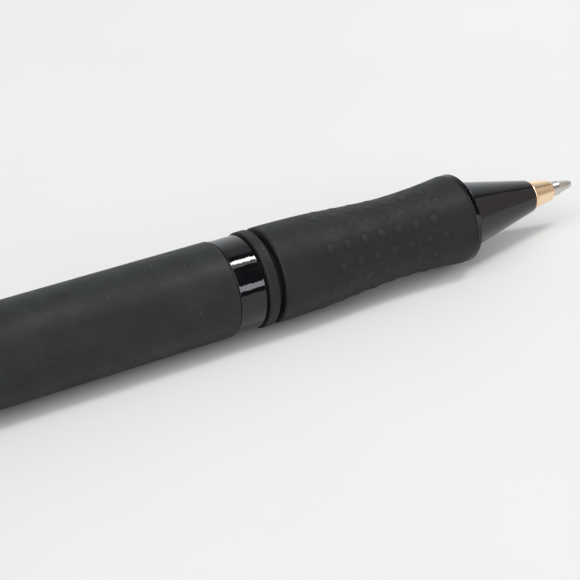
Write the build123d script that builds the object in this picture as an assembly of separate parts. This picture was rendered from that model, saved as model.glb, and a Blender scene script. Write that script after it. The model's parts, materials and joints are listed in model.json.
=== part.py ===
from build123d import *
import math
import os

# A retractable ballpoint pen lying on its side. Millimetres.
# The axis is X, with the writing point at +X and the push button at -X, and +Z is up.
# x = 0 is the front edge of the barrel, where the front section screws in.
# The pen is drawn ready to write: the point is out and the button is latched down.

# Outside, from the button to the point
button_end_x = -82.4
cap_end_x = -76.5
collar_rear_x = -74.0
barrel_rear_x = -70.0
taper_start_x = -30.0
band_rear_x = 0.05
band_end_x = 3.9
grip_rear_x = 4.3
groove_x = 5.78
grip_front_x = 37.8
flange_front_x = 38.75
nose_front_x = 51.4
nozzle_front_x = 55.65
tip_x = 59.6

# Outside radii
barrel_r = 6.5
barrel_rear_r = 5.95
collar_r = 6.0
band_r = 6.34
ring_r = 6.6
groove_r = 5.65
flange_r = 6.38
flange_chamfer = 0.3
nose_rear_r = 5.11
nose_front_r = 2.39
nozzle_rear_r = 2.1
nozzle_front_r = 1.6
button_r = 3.9

# Walls and fits
barrel_bore_r = 5.55
rear_bore_r = 5.15
rear_bore_x = -34.0
bush_bore_r = 4.75
core_r = 4.95
core_bore_r = 3.6
nose_socket_r = 4.1
nose_socket_x = 31.0
nose_bore_r = 3.3
spring_bore_r = 2.6
spring_bore_x = 42.5
nozzle_seat_r = 1.9
thread_r = 4.7
thread_length = 9.0
running = 0.05

# Refill and its spring
refill_r = 3.0
refill_bore_r = 2.5
refill_tail_x = -38.5
tube_rear_x = -36.0
tube_front_x = 34.0
shoulder_x = 36.0
neck_front_x = 45.5
neck_r = 1.6
point_r = 1.12
ball_r = 0.5
ink_rear_x = -8.0
ink_front_x = 30.0
spring_seat_x = 47.5
spring_wire_r = 0.22
spring_mean_r = 2.12
spring_turns = 9

# Click mechanism: a crowned plunger turns a rotor between the ribs of the housing
housing_bore_r = 4.3
housing_front_x = -36.5
guide_rear_x = -60.0
guide_front_x = -46.0
guide_r = 3.6
plunger_r = 3.45
plunger_bore_r = 2.4
crown_x = -47.6
rotor_gap = 0.1
teeth = 8
tooth_height = 0.6
rib_count = 4
cap_spigot_r = 4.6

# Clip: drawn standing up from the barrel, then turned until it rests on the table beside the ring
clip_half_width = 2.1
clip_sheet = 0.9
clip_edge_r = 0.3
clip_arm_r = 8.85
clip_root = (-72.2, 7.6)
clip_root_r = 0.8
clip_tip_x = -33.0
clip_top_r = clip_arm_r + clip_sheet / 2
corner = (clip_half_width - clip_edge_r, clip_top_r - clip_edge_r)
clip_lean = math.degrees(
    math.atan2(corner[0], corner[1])
    + math.acos((ring_r - clip_edge_r) / math.hypot(*corner))
)


def turned(*corners):
    """Turn an outline of (x, radius) corners about the pen's axis; a third number rounds that corner."""
    face = make_face(Polyline(*[c[:2] for c in corners], close=True)).face()
    for corner_point in corners:
        if len(corner_point) == 3:
            place = Vector(corner_point[0], corner_point[1])
            vertex = min(face.vertices(), key=lambda v: (Vector(v) - place).length)
            face = face.fillet_2d(corner_point[2], [vertex])
    return revolve(face, Axis.X)


def tube(x0, x1, outer, inner):
    return turned((x0, inner), (x0, outer), (x1, outer), (x1, inner))


def around(piece, count, start=0.0):
    """Copies of one piece, evenly spaced about the axis."""
    return [Rot(start + 360 * i / count, 0, 0) * piece for i in range(count)]


def radial_prism(outline, inner, outer):
    """An (x, sideways) outline pushed outwards along +Z, from one radius to another."""
    return Pos(0, 0, inner) * extrude(make_face(Polyline(*outline, close=True)), outer - inner)


def nozzle():
    return turned(
        (spring_seat_x, 1.45), (spring_seat_x, nozzle_seat_r), (nose_front_x, nozzle_seat_r),
        (nose_front_x, nozzle_rear_r - 0.08), (nose_front_x + 0.34, nozzle_rear_r + 0.07),
        (nose_front_x + 0.42, nozzle_rear_r + 0.07), (nose_front_x + 0.5, nozzle_rear_r - 0.01),
        (nozzle_front_x - 0.5, nozzle_front_r), (nozzle_front_x, nozzle_front_r - 0.36),
        (nozzle_front_x, point_r + running), (52.5, point_r + running), (52.2, 1.45),
    )


def nose_cone():
    return turned(
        (nose_socket_x, nose_bore_r), (nose_socket_x, nose_socket_r),
        (grip_front_x, nose_socket_r), (grip_front_x, flange_r),
        (flange_front_x - flange_chamfer, flange_r), (flange_front_x, flange_r - flange_chamfer),
        (flange_front_x, nose_rear_r),
        (nose_front_x, nose_front_r, 0.12), (nose_front_x, nozzle_seat_r),
        (spring_seat_x, nozzle_seat_r), (spring_seat_x, spring_bore_r),
        (spring_bore_x, spring_bore_r), (spring_bore_x - 0.7, nose_bore_r),
    )


def grip_core():
    return turned(
        (-thread_length, core_bore_r), (-thread_length, thread_r, 0.3), (-1.2, thread_r),
        (-1.2, thread_r - 0.25), (band_rear_x, thread_r - 0.25),
        (band_rear_x, band_r), (band_end_x, band_r, 0.12), (band_end_x, 5.9),
        (grip_rear_x, 5.9), (grip_rear_x, core_r), (grip_front_x, core_r),
        (grip_front_x, nose_socket_r), (nose_socket_x, nose_socket_r), (nose_socket_x, core_bore_r),
    )


def grip_sleeve():
    """Rubber with a waist where the fingers hold it, and a ring set off by a groove at its rear."""
    waist = Spline((9.1, 6.6), (15.1, 6.43), (21.1, 6.01), (27.1, 5.74), (33.1, 5.97), (37.35, 6.33))
    front_edge = ThreePointArc((37.35, 6.33), (37.66, 6.26), (grip_front_x, 6.0))
    sides = Polyline(
        (grip_front_x, 6.0), (grip_front_x, core_r), (grip_rear_x, core_r), (grip_rear_x, 6.45),
        (grip_rear_x + 0.15, ring_r), (groove_x - 0.08, ring_r), (groove_x, ring_r - 0.05),
        (groove_x, groove_r), (groove_x + 0.42, groove_r),
    )
    shoulder = ThreePointArc((groove_x + 0.42, groove_r), (groove_x + 0.64, 6.25), (6.85, ring_r))
    rear = Polyline((6.85, ring_r), (9.1, ring_r))
    return revolve(make_face([waist, front_edge, sides, shoulder, rear]), Axis.X)


def joint_washer():
    """The ring that the band tightens against; the threaded tail runs through it."""
    return turned((-0.98, 4.78), (-0.98, 5.47, 0.2), (-0.15, 5.47, 0.2), (-0.15, 4.78))


def barrel():
    return turned(
        (barrel_rear_x, rear_bore_r), (barrel_rear_x, barrel_rear_r, 0.15), (taper_start_x, barrel_r),
        (0, barrel_r, 0.3), (0, barrel_bore_r), (rear_bore_x, barrel_bore_r), (rear_bore_x - 0.4, rear_bore_r),
    )


def barrel_bush():
    return tube(-10.5, -1.1, barrel_bore_r, bush_bore_r)


def cam_housing():
    shell = turned(
        (housing_front_x, housing_bore_r), (housing_front_x, rear_bore_r), (barrel_rear_x, rear_bore_r),
        (barrel_rear_x, cap_spigot_r), (-66, cap_spigot_r), (-66, housing_bore_r),
    )
    half = 0.55
    slanted_rib = [(guide_rear_x, -half), (guide_rear_x, half), (guide_front_x - 0.8, half), (guide_front_x, -half)]
    rib = radial_prism(slanted_rib, guide_r + 0.05, housing_bore_r + 0.3)
    return shell + around(rib, teeth)


def end_cap():
    return turned(
        (cap_end_x, button_r + running), (cap_end_x, 5.3, 0.5), (collar_rear_x, collar_r, 0.2),
        (collar_rear_x, cap_spigot_r), (-66, cap_spigot_r), (-66, button_r + running),
    )


def clip_collar():
    """The ring that holds the clip, with a round socket for the clip's rolled end."""
    ring = tube(collar_rear_x, barrel_rear_x, collar_r, cap_spigot_r)
    boss = Pos(-72.7, 0, 7.0) * Box(2.2, 2 * clip_half_width, 3.4)
    boss = fillet(boss.edges().filter_by(Axis.Y).group_by(Axis.Z)[-1], 0.4)
    bore = Pos(clip_root[0], 0, clip_root[1]) * Rot(90, 0, 0) * Cylinder(clip_root_r + running, 10)
    core = Rot(0, 90, 0) * Cylinder(5.5, 200)
    return ring + (turn_to_table(boss - core) - turn_to_table(bore))


def turn_to_table(piece):
    return Rot(180 + clip_lean, 0, 0) * piece


def clip():
    """A spring strip: rolled root, straight arm, a dip that presses on the barrel, and a lifted tip."""
    path = FilletPolyline(
        clip_root, (-70.6, clip_root[1]), (-68.4, clip_arm_r), (-41.0, clip_arm_r),
        (-36.4, 7.02), (clip_tip_x, 8.0), radius=[0.8, 2.5, 6.0, 1.2],
    )
    strip = extrude(Plane.XZ * trace(path, clip_sheet), clip_half_width, both=True)
    plan = Pos(-54, 0, 0) * RectangleRounded(42, 2 * clip_half_width, 1.2)
    strip = strip & extrude(plan, 20)
    root = Pos(clip_root[0], 0, clip_root[1]) * Rot(90, 0, 0) * Cylinder(clip_root_r, 2 * clip_half_width)
    return turn_to_table(strip + root)


def push_button():
    return turned(
        (button_end_x, 0), (button_end_x, button_r, 1.0), (-62, button_r),
        (-62, 3.3), (-81.4, 3.3), (-81.4, 0),
    )


def notches(face_x, depth):
    """V cuts that leave a crown of pointed teeth on a face square to the axis."""
    half = math.pi * plunger_r / teeth
    cut = radial_prism([(face_x, -half), (face_x, half), (face_x - depth, 0)], 1.0, 6.0)
    return around(cut, teeth)


def plunger():
    body = turned(
        (-81.4, 0), (-81.4, 3.3), (-62, 3.3), (-62, plunger_r), (crown_x, plunger_r),
        (crown_x, plunger_bore_r), (-61, plunger_bore_r), (-61, 0),
    )
    body = body - notches(crown_x, tooth_height)
    lug = radial_prism([(-58, -0.4), (-58, 0.4), (-50, 0.4), (-50, -0.4)], 3.0, 4.15)
    return body + around(lug, rib_count, 180 / teeth)


def rotor():
    rear_x = crown_x + rotor_gap
    flange = tube(rear_x, rear_x + 2, 3.4, 0.5) - notches(rear_x, -tooth_height)
    stem = tube(-56, rear_x + 1, 2.2, 0.8)
    nose = tube(rear_x + 1.5, refill_tail_x - running, 2.6, 0.8)
    rib = radial_prism([(-45.6, -0.6), (-45.6, 0.6), (-41.5, 0.6), (-40.7, -0.6)], 2.0, 3.42)
    return flange + stem + nose + around(rib, rib_count)


def refill_plug():
    return turned(
        (refill_tail_x, 0.5), (refill_tail_x, refill_r, 0.4), (tube_rear_x, refill_r),
        (tube_rear_x, refill_bore_r), (-31, refill_bore_r), (-31, 0.5),
    )


def refill_tube():
    return tube(tube_rear_x, tube_front_x, refill_r, refill_bore_r)


def refill_neck():
    return turned(
        (ink_front_x, 0.6), (ink_front_x, refill_bore_r), (tube_front_x, refill_bore_r),
        (tube_front_x, refill_r), (shoulder_x, refill_r, 0.25), (shoulder_x, neck_r),
        (neck_front_x, neck_r, 0.3), (neck_front_x, point_r), (43, point_r), (43, 0.6),
    )


def refill_point():
    """Steel point: a parallel shank, a small step, and a cone crimped round the ball."""
    rim_x = tip_x - ball_r + 0.2
    body = turned(
        (43, 0.4), (43, point_r), (56.85, point_r, 0.06), (57.0, 0.99), (rim_x, 0.56, 0.06),
        (rim_x, 0.2), (58.3, 0.2), (58.3, 0.4),
    )
    return body - Pos(tip_x - ball_r, 0, 0) * Sphere(ball_r + 0.02)


def refill_ball():
    return Pos(tip_x - ball_r, 0, 0) * Sphere(ball_r)


def ink_column():
    return turned((ink_rear_x, 0), (ink_rear_x, refill_bore_r), (ink_front_x, refill_bore_r), (ink_front_x, 0))


def ink_follower():
    return turned((-12, 0), (-12, refill_bore_r), (ink_rear_x, refill_bore_r), (ink_rear_x, 0))


def return_spring():
    """A coil spring between the refill's shoulder and the back of the nozzle."""
    length = spring_seat_x - shoulder_x - 2 * spring_wire_r
    path = Helix(length / spring_turns, length, spring_mean_r, direction=(1, 0, 0))
    wire = sweep(Plane(path @ 0, z_dir=path % 0) * Circle(spring_wire_r), path=path, is_frenet=True)
    return Pos(shoulder_x + spring_wire_r, 0, 0) * wire


nodes = [
    nozzle, nose_cone, grip_core, grip_sleeve, joint_washer,
    barrel, barrel_bush, cam_housing, end_cap, clip_collar, clip,
    push_button, plunger, rotor,
    refill_plug, refill_tube, refill_neck, refill_point, refill_ball, ink_column, ink_follower,
    return_spring,
]
os.makedirs("parts", exist_ok=True)
for make in nodes:
    export_step(make(), f"parts/{make.__name__}.step")
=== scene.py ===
"""A retractable ballpoint pen lying on a pale table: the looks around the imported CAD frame.

Sizes are millimetres in the code and metres in the scene. The pen's axis is X, with the point at +X, and
+Z is up.
"""

import bpy
import json
import math
from mathutils import Matrix, Vector


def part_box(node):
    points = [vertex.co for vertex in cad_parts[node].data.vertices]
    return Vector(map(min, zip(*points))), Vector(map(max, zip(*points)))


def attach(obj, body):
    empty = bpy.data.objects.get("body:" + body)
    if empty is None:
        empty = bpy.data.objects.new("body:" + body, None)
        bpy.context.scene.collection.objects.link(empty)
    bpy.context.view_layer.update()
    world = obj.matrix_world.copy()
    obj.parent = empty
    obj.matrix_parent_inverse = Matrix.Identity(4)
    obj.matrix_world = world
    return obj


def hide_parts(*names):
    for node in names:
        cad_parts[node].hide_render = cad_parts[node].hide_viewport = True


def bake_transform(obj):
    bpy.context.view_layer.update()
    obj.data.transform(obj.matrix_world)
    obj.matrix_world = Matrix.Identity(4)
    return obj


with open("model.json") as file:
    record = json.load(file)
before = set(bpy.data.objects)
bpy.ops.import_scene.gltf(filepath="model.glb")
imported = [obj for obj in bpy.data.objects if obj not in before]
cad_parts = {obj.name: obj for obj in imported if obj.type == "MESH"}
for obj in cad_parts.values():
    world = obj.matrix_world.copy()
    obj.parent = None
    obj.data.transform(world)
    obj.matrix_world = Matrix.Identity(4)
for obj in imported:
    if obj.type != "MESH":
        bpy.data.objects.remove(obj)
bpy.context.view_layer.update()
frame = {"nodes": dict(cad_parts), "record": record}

MM = 0.001
TURN = 2 * math.pi


def across(node):
    """(lowest corner, highest corner) of a CAD node, in millimetres."""
    low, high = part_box(node)
    return low / MM, high / MM


# ---------------------------------------------------------------- places, read from the frame

barrel_rear, barrel_front = across("barrel")[0].x, across("barrel")[1].x
barrel_r = across("barrel")[1].y
core_rear = across("grip_core")[0].x
band_r = across("grip_core")[1].y
grip_rear, grip_front = across("grip_sleeve")[0].x, across("grip_sleeve")[1].x
nose_rear, nose_front = across("nose_cone")[0].x, across("nose_cone")[1].x
flange_r = across("nose_cone")[1].y
nozzle_rear, nozzle_front = across("nozzle")[0].x, across("nozzle")[1].x
tip = across("refill_ball")[1].x
button_rear, button_front = across("push_button")[0].x, across("push_button")[1].x
button_r = across("push_button")[1].y
cap_rear, cap_front = across("end_cap")[0].x, across("end_cap")[1].x
collar_rear, collar_front = across("clip_collar")[0].x, across("clip_collar")[1].x
table_z = across("grip_sleeve")[0].z

# The clip is drawn standing up and then turned, past hanging down, to where it rests on the table.
LEAN_PAST_DOWN = 57.9636
clip_lean = math.radians(180 + LEAN_PAST_DOWN)

# Inside sizes, as in the parts that the meshes stand for
POINT_R = 1.12
POINT_BORE_R = 1.17
POINT_BORE_X = 52.5
SEAT_R = 1.9
SEAT_BORE_R = 1.45
SPRING_BORE_R = 2.6
SPRING_BORE_X = 42.5
NOSE_BORE_R = 3.3
NOSE_SOCKET_R = 4.1
NOSE_SOCKET_X = 31
CORE_BORE_R = 3.6
CORE_R = 4.95
BARREL_BORE_R = 5.55
REAR_BORE_R = 5.15
REAR_BORE_X = -34
CAP_SPIGOT_R = 4.6
BUTTON_BORE_R = 3.3
BUTTON_HOLE_R = 3.95


# ---------------------------------------------------------------- meshes

SHARP_EDGE = math.radians(32)


def mesh_object(name, vertices, faces):
    """A smooth-shaded mesh from points in millimetres; edges steeper than SHARP_EDGE stay crisp."""
    mesh = bpy.data.meshes.new(name)
    mesh.from_pydata([Vector(v) * MM for v in vertices], [], faces)
    mesh.validate()
    mesh.shade_smooth()
    mesh.set_sharp_from_angle(angle=SHARP_EDGE)
    piece = bpy.data.objects.new(name, mesh)
    bpy.context.scene.collection.objects.link(piece)
    return piece


def arc(centre, first, last, steps):
    """Points at even angles round the centre, between the ends of two equal spokes."""
    sweep = first.angle(last)
    points = []
    for i in range(steps + 1):
        t = i / steps
        spoke = (first * math.sin((1 - t) * sweep) + last * math.sin(t * sweep)) / math.sin(sweep)
        points.append(centre + spoke)
    return points


CORNER_STEPS = 6
SUPPORT = 0.03
ROOM_FOR_SUPPORT = 0.1


def rounded(corners):
    """The closed outline of (x, radius[, rounding]) corners.

    Roundings are arcs, and support points beside each corner keep the shading of the flats even.
    """
    outline = []
    count = len(corners)
    for i, corner in enumerate(corners):
        here = Vector(corner[:2])
        before = Vector(corners[i - 1][:2])
        after = Vector(corners[(i + 1) % count][:2])
        back, on = (before - here), (after - here)
        reach_back, reach_on = back.length, on.length
        back.normalize()
        on.normalize()
        rounding = corner[2] if len(corner) > 2 else 0
        if rounding:
            half = back.angle(on) / 2
            cut = rounding / math.tan(half)
            centre = here + (back + on).normalized() * rounding / math.sin(half)
            if cut + SUPPORT < reach_back:
                outline.append(here + back * (cut + SUPPORT))
            outline += arc(centre, here + back * cut - centre, here + on * cut - centre, CORNER_STEPS)
            if cut + SUPPORT < reach_on:
                outline.append(here + on * (cut + SUPPORT))
        else:
            if reach_back > ROOM_FOR_SUPPORT:
                outline.append(here + back * SUPPORT)
            outline.append(here)
            if reach_on > ROOM_FOR_SUPPORT:
                outline.append(here + on * SUPPORT)
    return outline


def circle(x, r, count):
    """Points round the pen's axis."""
    return [(x, r * math.cos(TURN * k / count), r * math.sin(TURN * k / count)) for k in range(count)]


def turned(name, *corners, segments=144):
    """A closed outline turned about the pen's axis, as the part on the lathe."""
    vertices, rings = [], []
    for x, r in rounded(corners):
        if r < 1e-6:
            rings.append([len(vertices)] * segments)
            vertices.append((x, 0, 0))
        else:
            rings.append(list(range(len(vertices), len(vertices) + segments)))
            vertices += circle(x, r, segments)
    faces = []
    for a, b in zip(rings, rings[1:] + rings[:1]):
        for k in range(segments):
            n = (k + 1) % segments
            quad = [a[k], a[n], b[n], b[k]]
            face = [v for i, v in enumerate(quad) if v != quad[i - 1]]
            if len(face) > 2:
                faces.append(face)
    return mesh_object(name, vertices, faces)


def relief(name, rows, radius, segments, inner):
    """A tube whose outside radius is radius(x, angle) at the x stations in `rows`.

    A row given as (x, r) is a plain ring of that radius. `inner` is the bore's radius.
    """
    vertices = []
    rows = [row if isinstance(row, tuple) else (row, None) for row in rows]
    for x, plain in rows:
        for k in range(segments):
            angle = TURN * k / segments
            r = plain or radius(x, angle)
            vertices.append((x, r * math.cos(angle), r * math.sin(angle)))
    for x in (rows[-1][0], rows[0][0]):
        vertices += circle(x, inner, segments)
    count = len(rows) + 2
    faces = []
    for i in range(count):
        a, b = i * segments, ((i + 1) % count) * segments
        faces += [(a + k, a + (k + 1) % segments, b + (k + 1) % segments, b + k) for k in range(segments)]
    return mesh_object(name, vertices, faces)


def swept(name, rings):
    """A closed skin over equal rings of points, capped at both ends."""
    count = len(rings[0])
    vertices = [point for ring in rings for point in ring]
    faces = [
        (i * count + k, i * count + (k + 1) % count, (i + 1) * count + (k + 1) % count, (i + 1) * count + k)
        for i in range(len(rings) - 1) for k in range(count)
    ]
    last = (len(rings) - 1) * count
    faces += [tuple(range(count))[::-1], tuple(range(last, last + count))]
    return mesh_object(name, vertices, faces)


BEND_STEPS = 10
LONGEST_GAP = 1.5


def bent(corners):
    """An open line of (x, radius[, bend radius]) corners with its bends rounded and no long gaps."""
    line = [Vector(corners[0][:2])]
    for before, here, after in zip(corners, corners[1:], corners[2:]):
        b, h, a = Vector(before[:2]), Vector(here[:2]), Vector(after[:2])
        back, on = (b - h).normalized(), (a - h).normalized()
        half = back.angle(on) / 2
        centre = h + (back + on).normalized() * here[2] / math.sin(half)
        first = h + back * here[2] / math.tan(half) - centre
        last = h + on * here[2] / math.tan(half) - centre
        line += arc(centre, first, last, BEND_STEPS)
    line.append(Vector(corners[-1][:2]))
    filled = [line[0]]
    for point in line[1:]:
        start = filled[-1]
        parts = max(1, math.ceil((point - start).length / LONGEST_GAP))
        filled += [start.lerp(point, i / parts) for i in range(1, parts + 1)]
    return filled


def soft_section(half_width, half_depth, edge):
    """(sideways, outwards) points round a flat section with rounded corners."""
    steps = 5
    points = []
    for turn_by, sideways, outwards in ((0, 1, 1), (1, -1, 1), (2, -1, -1), (3, 1, -1)):
        for s in range(steps + 1):
            angle = math.pi / 2 * (turn_by + s / steps)
            points.append((
                sideways * (half_width - edge) + edge * math.cos(angle),
                outwards * (half_depth - edge) + edge * math.sin(angle),
            ))
        if turn_by == 0:
            flat = half_width - edge
            points += [(flat * (1 - i / 4), half_depth) for i in range(1, 8)]
    return points


def leaned(x, sideways, outwards):
    """A point beside the clip's middle plane, turned with the clip to where it rests on the table."""
    return (
        x,
        sideways * math.cos(clip_lean) - outwards * math.sin(clip_lean),
        sideways * math.sin(clip_lean) + outwards * math.cos(clip_lean),
    )


# ---------------------------------------------------------------- materials

class Shader:
    """A Principled material whose noise is laid out in millimetres along the pen's axes."""

    def __init__(self, name, colour, roughness, metallic=0.0, **sockets):
        self.material = bpy.data.materials.new(name)
        self.material.use_nodes = True
        self.nodes = self.material.node_tree.nodes
        self.links = self.material.node_tree.links
        self.bsdf = self.nodes["Principled BSDF"]
        self.coordinates = self.nodes.new("ShaderNodeTexCoord")
        self.colour, self.roughness = colour, roughness
        self.bsdf.inputs["Base Color"].default_value = (*colour, 1)
        self.bsdf.inputs["Roughness"].default_value = roughness
        self.bsdf.inputs["Metallic"].default_value = metallic
        for socket, value in sockets.items():
            self.bsdf.inputs[socket.replace("_", " ")].default_value = value

    def noise(self, per_mm, detail=2.0, rough=0.5):
        """Noise with that many cells per millimetre, every way or along X, Y and Z."""
        if not isinstance(per_mm, tuple):
            per_mm = (per_mm, per_mm, per_mm)
        place = self.nodes.new("ShaderNodeMapping")
        place.inputs["Scale"].default_value = [n / MM for n in per_mm]
        self.links.new(self.coordinates.outputs["Object"], place.inputs["Vector"])
        noise = self.nodes.new("ShaderNodeTexNoise")
        noise.inputs["Scale"].default_value = 1.0
        noise.inputs["Detail"].default_value = detail
        noise.inputs["Roughness"].default_value = rough
        self.links.new(place.outputs["Vector"], noise.inputs["Vector"])
        return noise.outputs["Fac"]

    def stored(self, name):
        """A number stored on the mesh's points."""
        node = self.nodes.new("ShaderNodeAttribute")
        node.attribute_name = name
        return node.outputs["Fac"]

    def ranged(self, source, low, high, start=0.3, end=0.7):
        """Goes from low to high as the source goes from start to end."""
        node = self.nodes.new("ShaderNodeMapRange")
        for socket, value in (("From Min", start), ("From Max", end), ("To Min", low), ("To Max", high)):
            node.inputs[socket].default_value = value
        self.links.new(source, node.inputs["Value"])
        return node.outputs["Result"]

    def vary_colour(self, source, other, low=0.0, high=1.0, start=0.3, end=0.7):
        """Blends the colour so far towards `other`: by low to high as the source goes from start to end."""
        mix = self.nodes.new("ShaderNodeMix")
        mix.data_type = "RGBA"
        a, b = [s for s in mix.inputs if s.type == "RGBA"]
        colour_in = self.bsdf.inputs["Base Color"]
        if colour_in.is_linked:
            self.links.new(colour_in.links[0].from_socket, a)
        else:
            a.default_value = (*self.colour, 1)
        b.default_value = (*other, 1)
        self.links.new(self.ranged(source, low, high, start, end), mix.inputs[0])
        result = [s for s in mix.outputs if s.type == "RGBA"][0]
        self.links.new(result, colour_in)
        return self

    def vary_roughness(self, source, spread):
        """Spreads the roughness both ways with the source."""
        value = self.ranged(source, self.roughness - spread, self.roughness + spread)
        self.links.new(value, self.bsdf.inputs["Roughness"])

    def bump(self, source, depth_mm):
        """Relief of about that depth; calls add up."""
        node = self.nodes.new("ShaderNodeBump")
        node.inputs["Distance"].default_value = depth_mm * MM
        node.inputs["Strength"].default_value = 1.0
        normal = self.bsdf.inputs["Normal"]
        if normal.is_linked:
            self.links.new(normal.links[0].from_socket, node.inputs["Normal"])
        self.links.new(source, node.inputs["Height"])
        self.links.new(node.outputs["Normal"], normal)


def satin_lacquer():
    """Satin black over fine turned rings, a little cloudy, with a little dust."""
    s = Shader("satin_lacquer", (0.0093, 0.0108, 0.0107), 0.58, Specular_IOR_Level=0.30)
    s.bump(s.noise((2.7, 0.05, 0.05), 3.0, 0.6), 0.011)
    s.bump(s.noise(9, 2.0), 0.004)
    s.vary_roughness(s.noise((0.16, 0.22, 0.22), 4.0, 0.6), 0.09)
    s.vary_colour(s.noise((0.22, 0.3, 0.3), 5.0, 0.65), (0.0142, 0.0170, 0.0162), start=0.38, end=0.62)
    s.vary_colour(s.noise((2.2, 0.03, 0.03), 2.0), (0.0055, 0.0065, 0.0063), 0, 0.2, 0.42, 0.58)
    return s.vary_colour(s.noise(3.2, 1.0), (0.12, 0.12, 0.12), 0, 1, 0.79, 0.83)


def grip_rubber():
    """Matt rubber, with painted highlights on the tops of the dots and painted shade in the moats round
    them, and a little dust.
    """
    s = Shader("grip_rubber", (0.0050, 0.0064, 0.0067), 0.60, Specular_IOR_Level=0.33)
    s.bump(s.noise(9, 3.0, 0.6), 0.006)
    s.vary_roughness(s.noise(0.35, 3.0), 0.06)
    s.vary_colour(s.noise(0.3, 4.0), (0.0082, 0.0100, 0.0103))
    # Painted highlight: the tops of the dots are paler, standing in for the light they catch.
    s.vary_colour(s.stored("dots"), (0.0120, 0.0136, 0.0140), 0, 1, 0.0, 1.0)
    # Painted shade: the moats round the dots are darker, standing in for the shade that falls in them.
    s.vary_colour(s.stored("dots"), (0.0040, 0.0050, 0.0052), 1, 0, -1.0, 0.0)
    return s.vary_colour(s.noise(3.4, 1.0), (0.16, 0.17, 0.17), 0, 1, 0.795, 0.83)


def gloss_black():
    """Gloss black plastic, just uneven enough to fray the edges of what it reflects."""
    s = Shader("gloss_black", (0.002, 0.0025, 0.003), 0.045)
    s.bump(s.noise(2.6, 1.0), 0.0090)
    s.vary_roughness(s.noise(2.5, 5.0, 0.7), 0.02)
    return s.vary_colour(s.noise(0.4, 3.0), (0.004, 0.004, 0.005))


def rose_gold():
    """Plated metal with very fine turned rings."""
    s = Shader("rose_gold", (0.93, 0.69, 0.44), 0.17, 1.0)
    s.bump(s.noise((16, 0.15, 0.15), 3.0, 0.6), 0.0012)
    s.vary_roughness(s.noise((5, 0.3, 0.3), 3.0), 0.05)
    return s.vary_colour(s.noise(0.6, 3.0), (0.95, 0.73, 0.49))


def turned_steel():
    """Steel with faint turned rings."""
    s = Shader("turned_steel", (0.66, 0.64, 0.59), 0.3, 1.0)
    s.bump(s.noise((7, 0.3, 0.3), 1.0, 0.5), 0.0003)
    s.vary_roughness(s.noise((3, 0.4, 0.4), 3.0), 0.05)
    return s.vary_colour(s.noise(1.2, 3.0), (0.54, 0.52, 0.48))


def moulded(name, colour, other, roughness):
    """A plain moulded or cast surface with a soft grain."""
    s = Shader(name, colour, roughness)
    s.bump(s.noise(6.0, 3.0), 0.003)
    s.vary_roughness(s.noise(1.5, 3.0), 0.06)
    return s.vary_colour(s.noise(0.5, 4.0), other)


def drawn_metal(name, colour, other, roughness):
    """Metal with fine marks round it."""
    s = Shader(name, colour, roughness, 1.0)
    s.bump(s.noise((12, 0.5, 0.5), 3.0), 0.001)
    s.vary_roughness(s.noise((4, 1, 1), 3.0), 0.05)
    return s.vary_colour(s.noise(0.8, 4.0), other)


slots = {
    "black_lacquer": satin_lacquer(),
    "grip_rubber": grip_rubber(),
    "gloss_black": gloss_black(),
    "rose_gold": rose_gold(),
    "steel": turned_steel(),
    "carbide": drawn_metal("carbide", (0.14, 0.14, 0.14), (0.11, 0.11, 0.11), 0.22),
    "brass": drawn_metal("brass", (0.80, 0.58, 0.26), (0.70, 0.50, 0.22), 0.28),
    "spring_steel": drawn_metal("spring_steel", (0.56, 0.56, 0.55), (0.46, 0.46, 0.45), 0.25),
    "washer_rubber": moulded("washer_rubber", (0.05, 0.05, 0.05), (0.07, 0.07, 0.07), 0.7),
    "white_plastic": moulded("white_plastic", (0.74, 0.74, 0.71), (0.66, 0.66, 0.63), 0.4),
    "grey_plastic": moulded("grey_plastic", (0.30, 0.32, 0.35), (0.25, 0.27, 0.30), 0.4),
    "clear_tube": moulded("clear_tube", (0.72, 0.74, 0.76), (0.64, 0.66, 0.68), 0.25),
    "ink": moulded("ink", (0.004, 0.004, 0.009), (0.008, 0.008, 0.016), 0.12),
    "follower_gel": moulded("follower_gel", (0.62, 0.58, 0.44), (0.54, 0.50, 0.38), 0.2),
}
slot_of = {s["node"]: s["material_slot"] for s in frame["record"]["subparts"]}


def finish_like(piece, slot_name):
    """Gives the piece that slot's material and no other."""
    piece.data.materials.clear()
    piece.data.materials.append(slots[slot_name].material)


def stands_for(piece, body, node):
    """The piece rides on the body, replaces the CAD node and takes its slot's finish."""
    finish_like(piece, slot_of[node])
    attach(piece, body)
    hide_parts(node)


for node, cad_object in frame["nodes"].items():
    finish_like(cad_object, slot_of[node])


# ---------------------------------------------------------------- the front section

def make_nozzle():
    """Small metal nozzle: a bevelled lip against the nose cone, a gentle taper and a chamfered mouth."""
    lip, lip_r = nose_front, 2.17
    return turned(
        "nozzle_turned",
        (nozzle_rear, SEAT_BORE_R), (nozzle_rear, SEAT_R), (lip, SEAT_R), (lip, lip_r - 0.2),
        (lip + 0.24, lip_r, 0.03), (lip + 0.36, lip_r, 0.03), (lip + 0.46, lip_r - 0.08, 0.04),
        (nozzle_front - 0.5, 1.6, 0.12), (nozzle_front, 1.24, 0.05),
        (nozzle_front, POINT_BORE_R), (POINT_BORE_X, POINT_BORE_R), (POINT_BORE_X - 0.3, SEAT_BORE_R),
        segments=128,
    )


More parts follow.
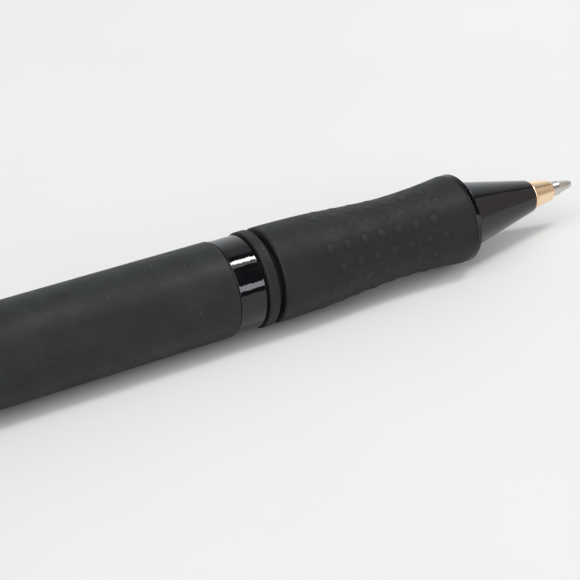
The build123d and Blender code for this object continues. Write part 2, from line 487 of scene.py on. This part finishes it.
def make_nose():
    """Gloss cone with the thin flange that holds the rubber."""
    flange_front = grip_front + 0.95
    chamfer = 0.3
    return turned(
        "nose_cone_gloss",
        (nose_rear, NOSE_BORE_R), (nose_rear, NOSE_SOCKET_R), (grip_front, NOSE_SOCKET_R),
        (grip_front, flange_r - 0.2, 0.12), (flange_front - chamfer, flange_r, 0.06),
        (flange_front, flange_r - chamfer, 0.06), (flange_front, 5.11, 0.06),
        (nose_front, 2.39, 0.12), (nose_front, SEAT_R), (nozzle_rear, SEAT_R), (nozzle_rear, SPRING_BORE_R),
        (SPRING_BORE_X, SPRING_BORE_R), (SPRING_BORE_X - 0.7, NOSE_BORE_R),
        segments=192,
    )


def smooth_through(points, x):
    """A smooth curve through (x, value) points: Catmull-Rom spans with real spacing."""
    last = len(points) - 2
    i = max(0, min(last, sum(1 for p in points[1:-1] if x >= p[0])))
    (x0, y0), (x1, y1) = points[i], points[i + 1]
    before = points[i - 1] if i else (x0, y0)
    after = points[i + 2] if i < last else (x1, y1)
    m0 = (y1 - before[1]) / (x1 - before[0])
    m1 = (after[1] - y0) / (after[0] - x0)
    h = x1 - x0
    t = min(1, max(0, (x - x0) / h))
    return (
        (2 * t**3 - 3 * t**2 + 1) * y0 + (t**3 - 2 * t**2 + t) * h * m0
        + (3 * t**2 - 2 * t**3) * y1 + (t**3 - t**2) * h * m1
    )


RING_R = 6.6
RING_EDGE = 0.18
WAIST = [
    (6.75, RING_R), (9.1, RING_R), (15.1, 6.43), (21.1, 6.01), (27.1, 5.74), (33.1, 5.97), (37.8, 6.40),
]
GROOVE = (5.78, 6.85)
GROOVE_FLOOR = 5.2
GROOVE_LIP = 0.36
FRONT_ROUNDING = 0.45
GRIP_SEGMENTS = 336
DOT_ROWS = 15
DOT_SLIP = 7 / 15
DOT_PITCH = 2.83
DOT_FIRST = 14.45
DOT_COUNT = 7
DOT_R = 0.70
DOT_HEIGHT = 0.08
DOT_MOAT = 0.015
DOT_TURN = math.radians(139.3)


def grip_radius(x, angle):
    """Outside radius of the rubber: the ring behind the groove and the dotted waist in front of it."""
    if x < GROOVE[0]:
        edge = min(x - grip_rear, GROOVE[0] - x)
        return RING_R - 0.15 * max(0, 1 - edge / RING_EDGE) ** 2
    r = smooth_through(WAIST, max(x, WAIST[0][0]))
    to_front = grip_front - x
    if to_front < FRONT_ROUNDING:
        r -= FRONT_ROUNDING - math.sqrt(max(0, FRONT_ROUNDING**2 - (FRONT_ROUNDING - to_front) ** 2))
    return r + dot_height(x, angle, r)


def dot_height(x, angle, r):
    """A low dome in a shallow moat; each row of dots slips along by a little under half a pitch."""
    step = TURN / DOT_ROWS
    row = round((angle - DOT_TURN) / step)
    sideways = ((angle - DOT_TURN) - row * step) * r
    first = DOT_FIRST + DOT_PITCH * ((row * DOT_SLIP + 0.25) % 1 - 0.25)
    column = min(DOT_COUNT - 1, max(0, round((x - first) / DOT_PITCH)))
    away = math.hypot(x - first - column * DOT_PITCH, sideways)
    if away > 2.2 * DOT_R:
        return 0
    dome = (1 - (away / DOT_R) ** 2) ** 1.5 if away < DOT_R else 0
    return DOT_HEIGHT * dome - DOT_MOAT * math.exp(-(((away - 1.15 * DOT_R) / 0.2) ** 2))


def mark_dots(grip):
    """Stores on each point how far it stands out on a dot (1 at the top) or lies in a dot's moat (-1), for
    the painted highlights and shade of the dots.
    """
    mark = grip.data.attributes.new("dots", "FLOAT", "POINT")
    values = []
    for vertex in grip.data.vertices:
        x, y, z = vertex.co / MM
        r = math.hypot(y, z)
        outside = x > GROOVE[1] + 0.4 and r > GROOVE_FLOOR
        height = dot_height(x, math.atan2(z, y) % TURN, r) if outside else 0
        values.append(height / DOT_HEIGHT if height > 0 else height / DOT_MOAT)
    mark.data.foreach_set("value", values)
    return grip


def make_grip():
    """The rubber: a ring, an undercut groove with a rounded shoulder, and the waist with its dots."""
    into, out = GROOVE
    rows = [grip_rear + 0.05 * i for i in range(10)]
    rows += [grip_rear + 0.5 + 0.1 * i for i in range(8)]
    rows += [into - 0.05 * i for i in range(1, 5)] + [into - 0.01]
    groove = [
        (into, 6.4), (into - 0.04, 6.0), (into - 0.1, GROOVE_FLOOR),
        (out - 0.05, GROOVE_FLOOR), (out - 0.1, 5.9),
    ]
    for i in range(11):
        angle = math.pi / 2 * i / 10
        groove.append((
            out + GROOVE_LIP * (1 - math.cos(angle)) - 0.15, RING_R - GROOVE_LIP * (1 - math.sin(angle)),
        ))
    dotted = out + GROOVE_LIP
    dotted_length = grip_front - 0.5 - dotted
    count = round(dotted_length / 0.13)
    rows += [dotted + dotted_length * i / count for i in range(count)]
    rows += [grip_front - FRONT_ROUNDING * math.cos(math.pi / 2 * i / 10) for i in range(11)]
    rows = sorted(set(round(x, 4) for x in rows))
    rows = [x for x in rows if x < into] + groove + [x for x in rows if x > dotted - 0.1]
    return mark_dots(relief("grip_rubber_dotted", rows, grip_radius, GRIP_SEGMENTS, CORE_R))


THREAD_STARTS = 3
THREAD_PITCH = 1.0
THREAD_FRONT = -1.2
THREAD_ROOT_R = 4.32
THREAD_DEPTH = 0.38
TAIL_R = 4.45
TAIL_FRONT = -0.6


def core_radius(x, angle):
    """Outside radius of the tail: a three-start thread with a 3 mm lead, and a plain neck in front."""
    if x > THREAD_FRONT:
        return TAIL_R
    along = (x / THREAD_PITCH - THREAD_STARTS * angle / TURN) % 1.0
    ridge = max(0.0, min(1.0, 1.9 - abs(along - 0.5) * 5.2))
    ends = min(1.0, (x - core_rear) / 0.7, (THREAD_FRONT - x) / 0.5 + 0.02)
    return THREAD_ROOT_R + THREAD_DEPTH * ridge * max(0.0, ends)


def make_core():
    """The tube under the rubber with its gloss band, and its threaded tail."""
    band_rear, band_front, shoulder_r = 0.05, 3.9, 5.9
    body = turned(
        "grip_core_gloss",
        (TAIL_FRONT, CORE_BORE_R), (TAIL_FRONT, 4.4), (band_rear, 4.4), (band_rear, band_r, 0.12),
        (band_front, band_r, 0.14), (band_front, shoulder_r, 0.05), (grip_rear, shoulder_r),
        (grip_rear, CORE_R), (grip_front, CORE_R), (grip_front, NOSE_SOCKET_R),
        (NOSE_SOCKET_X, NOSE_SOCKET_R), (NOSE_SOCKET_X, CORE_BORE_R),
        segments=192,
    )
    rows = [core_rear + 0.08 * i for i in range(106)]
    rows = [x for x in rows if x < TAIL_FRONT] + [TAIL_FRONT]
    tail = relief("grip_core_thread", rows, core_radius, 144, CORE_BORE_R)
    return body, tail


stands_for(make_nozzle(), "front_section", "nozzle")
stands_for(make_nose(), "front_section", "nose_cone")
stands_for(make_grip(), "front_section", "grip_sleeve")
core_body, core_tail = make_core()
stands_for(core_body, "front_section", "grip_core")
stands_for(core_tail, "front_section", "grip_core")


# ---------------------------------------------------------------- the point

BALL_R = 0.5


def make_point():
    """Steel point: a short parallel shank, a small step, a cone and a rolled rim round the ball."""
    rear, step, seat, rim = 43, 57.0, 58.3, tip - BALL_R + 0.2
    return turned(
        "point_turned",
        (rear, 0.4), (rear, POINT_R), (step - 0.15, POINT_R, 0.1), (step, 0.99, 0.04),
        (rim - 0.35, 0.62, 0.5), (rim, 0.5, 0.05), (rim, 0.47),
        (seat + 0.68, 0.3), (seat, 0.2), (seat, 0.4),
        segments=96,
    )


def make_ball():
    """The ball, turned from a half circle that starts and ends on the axis."""
    centre = tip - BALL_R
    angles = [math.pi * i / 30 for i in range(31)]
    corners = [(centre - BALL_R * math.cos(angle), BALL_R * math.sin(angle)) for angle in angles]
    corners[0], corners[-1] = (tip - 2 * BALL_R, 0), (tip, 0)
    return turned("ball_ground", *corners, segments=64)


stands_for(make_point(), "refill", "refill_point")
stands_for(make_ball(), "ball", "refill_ball")


SPRING_TURNS = 9
SPRING_WIRE_R = 0.22
SPRING_CLOSED_PITCH = 0.46
STEPS_PER_TURN = 36
WIRE_POINTS = 12


def make_spring():
    """Coil spring round the refill's neck, with one closed turn at each end."""
    low, high = across("return_spring")
    rear, front = low.x + SPRING_WIRE_R, high.x - SPRING_WIRE_R
    coil_r = high.y - SPRING_WIRE_R
    open_turns = SPRING_TURNS - 2
    open_pitch = (front - rear - 2 * SPRING_CLOSED_PITCH) / open_turns
    rings = []
    for i in range(SPRING_TURNS * STEPS_PER_TURN + 1):
        turn = i / STEPS_PER_TURN
        opened = min(max(turn - 1, 0), open_turns)
        x = rear + SPRING_CLOSED_PITCH * (turn - opened) + open_pitch * opened
        angle = TURN * turn
        ring = []
        for k in range(WIRE_POINTS):
            around = TURN * k / WIRE_POINTS
            r = coil_r + SPRING_WIRE_R * math.cos(around)
            ring.append((x - SPRING_WIRE_R * math.sin(around), r * math.cos(angle), r * math.sin(angle)))
        rings.append(ring)
    return swept("spring_coiled", rings)


def hang_spring():
    """The coiled spring takes the CAD spring's place and finish; nothing here attaches its ends to a part,
    so it keeps the length it is drawn with.
    """
    spring = make_spring()
    finish_like(spring, slot_of["return_spring"])
    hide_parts("return_spring")
    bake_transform(spring)


hang_spring()


# ---------------------------------------------------------------- the barrel and the rear

def make_barrel():
    """A tube that is parallel in front and tapers slightly to the rear."""
    taper_start, rear_r = -30, 5.95
    return turned(
        "barrel_satin",
        (barrel_rear, REAR_BORE_R), (barrel_rear, rear_r, 0.15), (taper_start, barrel_r, 3),
        (barrel_front, barrel_r, 0.3), (barrel_front, BARREL_BORE_R, 0.1),
        (REAR_BORE_X, BARREL_BORE_R), (REAR_BORE_X - 0.4, REAR_BORE_R),
        segments=224,
    )


def make_end_cap():
    """Stepped cap with three fine turned lines."""
    lines = []
    for x in (cap_rear + 0.9, cap_rear + 1.3, cap_rear + 1.7):
        r = 5.3 + 0.7 * (x - cap_rear) / (collar_rear - cap_rear)
        lines += [(x - 0.07, r - 0.02), (x, r - 0.09), (x + 0.07, r)]
    return turned(
        "end_cap_turned",
        (cap_rear, BUTTON_HOLE_R, 0.1), (cap_rear, 5.3, 0.5), *lines,
        (collar_rear - 0.25, 5.93, 0.1), (collar_rear, 5.8), (collar_rear, CAP_SPIGOT_R),
        (cap_front, CAP_SPIGOT_R), (cap_front, BUTTON_HOLE_R),
        segments=160,
    )


CLIP_HALF_WIDTH = 2.1
CLIP_HALF_SHEET = 0.45
CLIP_TIP_ROUNDING = 1.2
TIP_GAP = 0.06
CLIP_LINE = [
    (-72.2, 7.6), (-70.6, 7.6, 0.8), (-68.4, 8.85, 2.5),
    (-41.0, 8.85, 6.0), (-36.4, 7.02, 1.2), (-33.0, 8.0),
]
CLIP_ROOT_R = 0.8


def make_clip():
    """Sprung metal strip with soft edges, a dip that presses on the barrel and a rounded lifted tip."""
    line = bent(CLIP_LINE)
    end = line[-1]
    into_end = (line[-1] - line[-2]).normalized()
    # Towards the tip the sections close up, and the last one stops just short of the end.
    line = [p for p in line if (end - p).length > 1.35]
    line += [end - into_end * 1.3 * math.cos(math.pi / 2 * i / 12) for i in range(12)]
    line.append(end - into_end * TIP_GAP)
    rings = []
    for i, point in enumerate(line):
        along = (line[min(i + 1, len(line) - 1)] - line[max(i - 1, 0)]).normalized()
        out = Vector((-along.y, along.x))
        left = (end - point).length - TIP_GAP
        short = CLIP_TIP_ROUNDING - min(left, CLIP_TIP_ROUNDING)
        width = CLIP_HALF_WIDTH - (CLIP_TIP_ROUNDING - math.sqrt(max(0, CLIP_TIP_ROUNDING**2 - short**2)))
        depth = CLIP_HALF_SHEET - max(0, 0.16 - left)
        rings.append([
            leaned(point.x + out.x * outwards, sideways, point.y + out.y * outwards)
            for sideways, outwards in soft_section(width, depth, min(0.28, depth * 0.8))
        ])
    return swept("clip_strip", rings)


def make_clip_root():
    """The rolled end the clip hangs on."""
    root_x, root_r = CLIP_LINE[0]
    rings = []
    for sideways, r in (
        (-2.1, 0.62), (-2.02, 0.76), (-1.9, CLIP_ROOT_R), (1.9, CLIP_ROOT_R), (2.02, 0.76), (2.1, 0.62),
    ):
        rings.append([
            leaned(root_x + r * math.cos(TURN * k / 48), sideways, root_r + r * math.sin(TURN * k / 48))
            for k in range(48)
        ])
    return swept("clip_rolled_root", rings)


def make_collar():
    """Ring between the barrel and the end cap, with one turned line."""
    line = collar_front - 0.7
    r = 6.0
    return turned(
        "collar_turned",
        (collar_rear, CAP_SPIGOT_R), (collar_rear, r, 0.12),
        (line - 0.1, r), (line, r - 0.1), (line + 0.1, r),
        (collar_front, r, 0.12), (collar_front, CAP_SPIGOT_R),
        segments=160,
    )


def make_collar_boss():
    """The lug on the collar that carries the clip: a block with rounded shoulders and broken edges."""
    middle = CLIP_LINE[0][0] - 0.5
    foot, corner = 5.55, 0.5
    rings = []
    for sideways, inset in ((-2.1, 0.16), (-2.05, 0.06), (-1.94, 0), (1.94, 0), (2.05, 0.06), (2.1, 0.16)):
        half, top = 1.1 - inset, 8.7 - inset
        ring = [(middle + half, foot)]
        for start, side in ((0, 1), (1, -1)):
            for k in range(7):
                angle = math.pi / 2 * (start + k / 6)
                x = middle + side * (half - corner) + corner * math.cos(angle)
                ring.append((x, top - corner + corner * math.sin(angle)))
        ring.append((middle - half, foot))
        rings.append([leaned(x, sideways, outwards) for x, outwards in ring])
    return swept("collar_boss", rings)


def make_button():
    """Push button with a crowned end and two fine turned lines."""
    lines = []
    for x in (button_rear + 2.2, button_rear + 2.7):
        lines += [(x - 0.09, button_r), (x, button_r - 0.09), (x + 0.09, button_r)]
    inside_end = button_rear + 1
    return turned(
        "button_turned",
        (button_rear, 0), (button_rear + 0.08, 2.2), (button_rear + 0.25, button_r, 0.8), *lines,
        (button_front, button_r), (button_front, BUTTON_BORE_R),
        (inside_end, BUTTON_BORE_R), (inside_end, 0),
    )


stands_for(make_barrel(), "barrel", "barrel")
stands_for(make_end_cap(), "barrel", "end_cap")
stands_for(make_collar(), "barrel", "clip_collar")
stands_for(make_collar_boss(), "barrel", "clip_collar")
stands_for(make_clip(), "clip", "clip")
stands_for(make_clip_root(), "clip", "clip")
stands_for(make_button(), "button", "push_button")


# ---------------------------------------------------------------- stage, camera and light

VIEW_HEADING = math.radians(31.06)
VIEW_DROP = math.radians(30.74)
LENS = 96.4
SEEN_X = 4.9
SEEN_RIGHT, SEEN_UP, SEEN_AHEAD = -5.28, 1.39, 206.0

beyond = Vector((math.sin(VIEW_HEADING), math.cos(VIEW_HEADING), 0))
right = Vector((math.cos(VIEW_HEADING), -math.sin(VIEW_HEADING), 0))
ahead = Vector((
    math.sin(VIEW_HEADING) * math.cos(VIEW_DROP),
    math.cos(VIEW_HEADING) * math.cos(VIEW_DROP),
    -math.sin(VIEW_DROP),
))
up = right.cross(ahead)


def make_camera():
    """Placed by where it sees the point SEEN_X of the pen's axis: so far to the right, up and ahead."""
    data = bpy.data.cameras.new("camera")
    data.lens = LENS
    data.sensor_width = 36
    data.clip_start = 0.01
    camera = bpy.data.objects.new("camera", data)
    bpy.context.scene.collection.objects.link(camera)
    place = Vector((SEEN_X, 0, 0)) - (right * SEEN_RIGHT + up * SEEN_UP + ahead * SEEN_AHEAD)
    turn = Matrix((right, up, -ahead)).transposed().to_4x4()
    camera.matrix_world = Matrix.Translation(place * MM) @ turn
    bpy.context.scene.camera = camera


def make_table():
    """A pale sheet under the pen, a little uneven in tone."""
    half = 2500
    corners = [(x * half, y * half, table_z) for x, y in ((-1, -1), (1, -1), (1, 1), (-1, 1))]
    table = mesh_object("table", corners, [(0, 1, 2, 3)])
    paper = Shader("table_paper", (0.612, 0.625, 0.615), 0.7)
    paper.vary_colour(paper.noise(0.02, 4.0), (0.627, 0.64, 0.63))
    table.data.materials.append(paper.material)


def soft_light(name, direction, distance, length, depth, power, colour=(1, 1, 1)):
    """An area light on the pen from that direction; its length lies as near the pen's axis as it can."""
    data = bpy.data.lights.new(name, "AREA")
    data.shape = "RECTANGLE"
    data.size, data.size_y = length, depth
    data.energy = power
    data.color = colour
    light = bpy.data.objects.new(name, data)
    bpy.context.scene.collection.objects.link(light)
    away = Vector(direction).normalized()
    beside = away.cross(Vector((1, 0, 0))).normalized()
    turn = Matrix((beside.cross(away), beside, away)).transposed().to_4x4()
    light.matrix_world = Matrix.Translation(away * distance) @ turn
    return light


def make_sky():
    """A dim room, bright beyond the pen and behind the camera, and warm with dark patches on the right."""
    world = bpy.data.worlds.new("studio")
    bpy.context.scene.world = world
    world.use_nodes = True
    nodes, links = world.node_tree.nodes, world.node_tree.links
    place = nodes.new("ShaderNodeTexCoord")

    def towards(direction, start, end):
        """0 to 1 as the sky's direction turns from one cosine to another of that direction."""
        dot = nodes.new("ShaderNodeVectorMath")
        dot.operation = "DOT_PRODUCT"
        dot.inputs[1].default_value = Vector(direction).normalized()
        span = nodes.new("ShaderNodeMapRange")
        span.inputs["From Min"].default_value, span.inputs["From Max"].default_value = start, end
        links.new(place.outputs["Generated"], dot.inputs[0])
        links.new(dot.outputs["Value"], span.inputs["Value"])
        return span.outputs["Result"]

    def over(below, level, mask):
        """That level where the mask is 1, over a level or an earlier result."""
        mix = nodes.new("ShaderNodeMix")
        mix.data_type = "RGBA"
        a, b = [s for s in mix.inputs if s.type == "RGBA"]
        links.new(mask, mix.inputs[0])
        if isinstance(below, tuple):
            a.default_value = (*below, 1)
        else:
            links.new(below, a)
        b.default_value = (*level, 1)
        return [s for s in mix.outputs if s.type == "RGBA"][0]

    dark = (0.04, 0.04, 0.045)
    sky = (0.18, 0.185, 0.19)
    for level, direction, start, end in (
        ((0.50, 0.51, 0.52), beyond, 0.25, 0.42),
        ((1.06, 1.10, 1.14), beyond, 0.60, 0.95),
        ((1.50, 1.44, 1.50), (-0.85, -0.85, 0.55), 0.35, 0.75),
        (dark, (0.42, -0.50, 0.76), 0.755, 0.785),
        ((0.155, 0.13, 0.105), right, 0.60, 0.66),
        ((0.61, 0.55, 0.505), right, 0.69, 0.72),
        (dark, (0.45, -0.80, 0.40), 0.90, 0.915),
        (dark, (0.45, -0.89, -0.10), 0.93, 0.95),
    ):
        sky = over(sky, level, towards(direction, start, end))
    links.new(sky, nodes["Background"].inputs["Color"])


bpy.context.scene.view_settings.view_transform = "Standard"
make_camera()
make_table()
make_sky()
soft_light("overhead", (-0.28, -0.16, 1.0), 2.0, 1.0, 1.0, 4.2, (1.0, 0.99, 0.975))
soft_light("near_left", (-0.80, -0.50, 0.80), 1.5, 1.2, 1.2, 10.0, (1.0, 0.99, 0.985))
# This light reaches into the shadow under the cone. Its reflection would glare on the steel point.
front_fill = soft_light("front_fill", (1.0, -0.05, 0.30), 2.0, 0.45, 0.45, 14.0)
front_fill.visible_glossy = False
soft_light("tube", (0.454, -0.105, 0.885), 0.99, 0.4, 0.13, 3.9)
soft_light("ceiling_panel", (0.38, -0.26, 0.88), 1.0, 0.2, 0.12, 0.14)
soft_light("window_low", (0.454, -0.850, 0.268), 2.4, 0.6, 0.5, 5.0, (0.95, 0.93, 1.0))
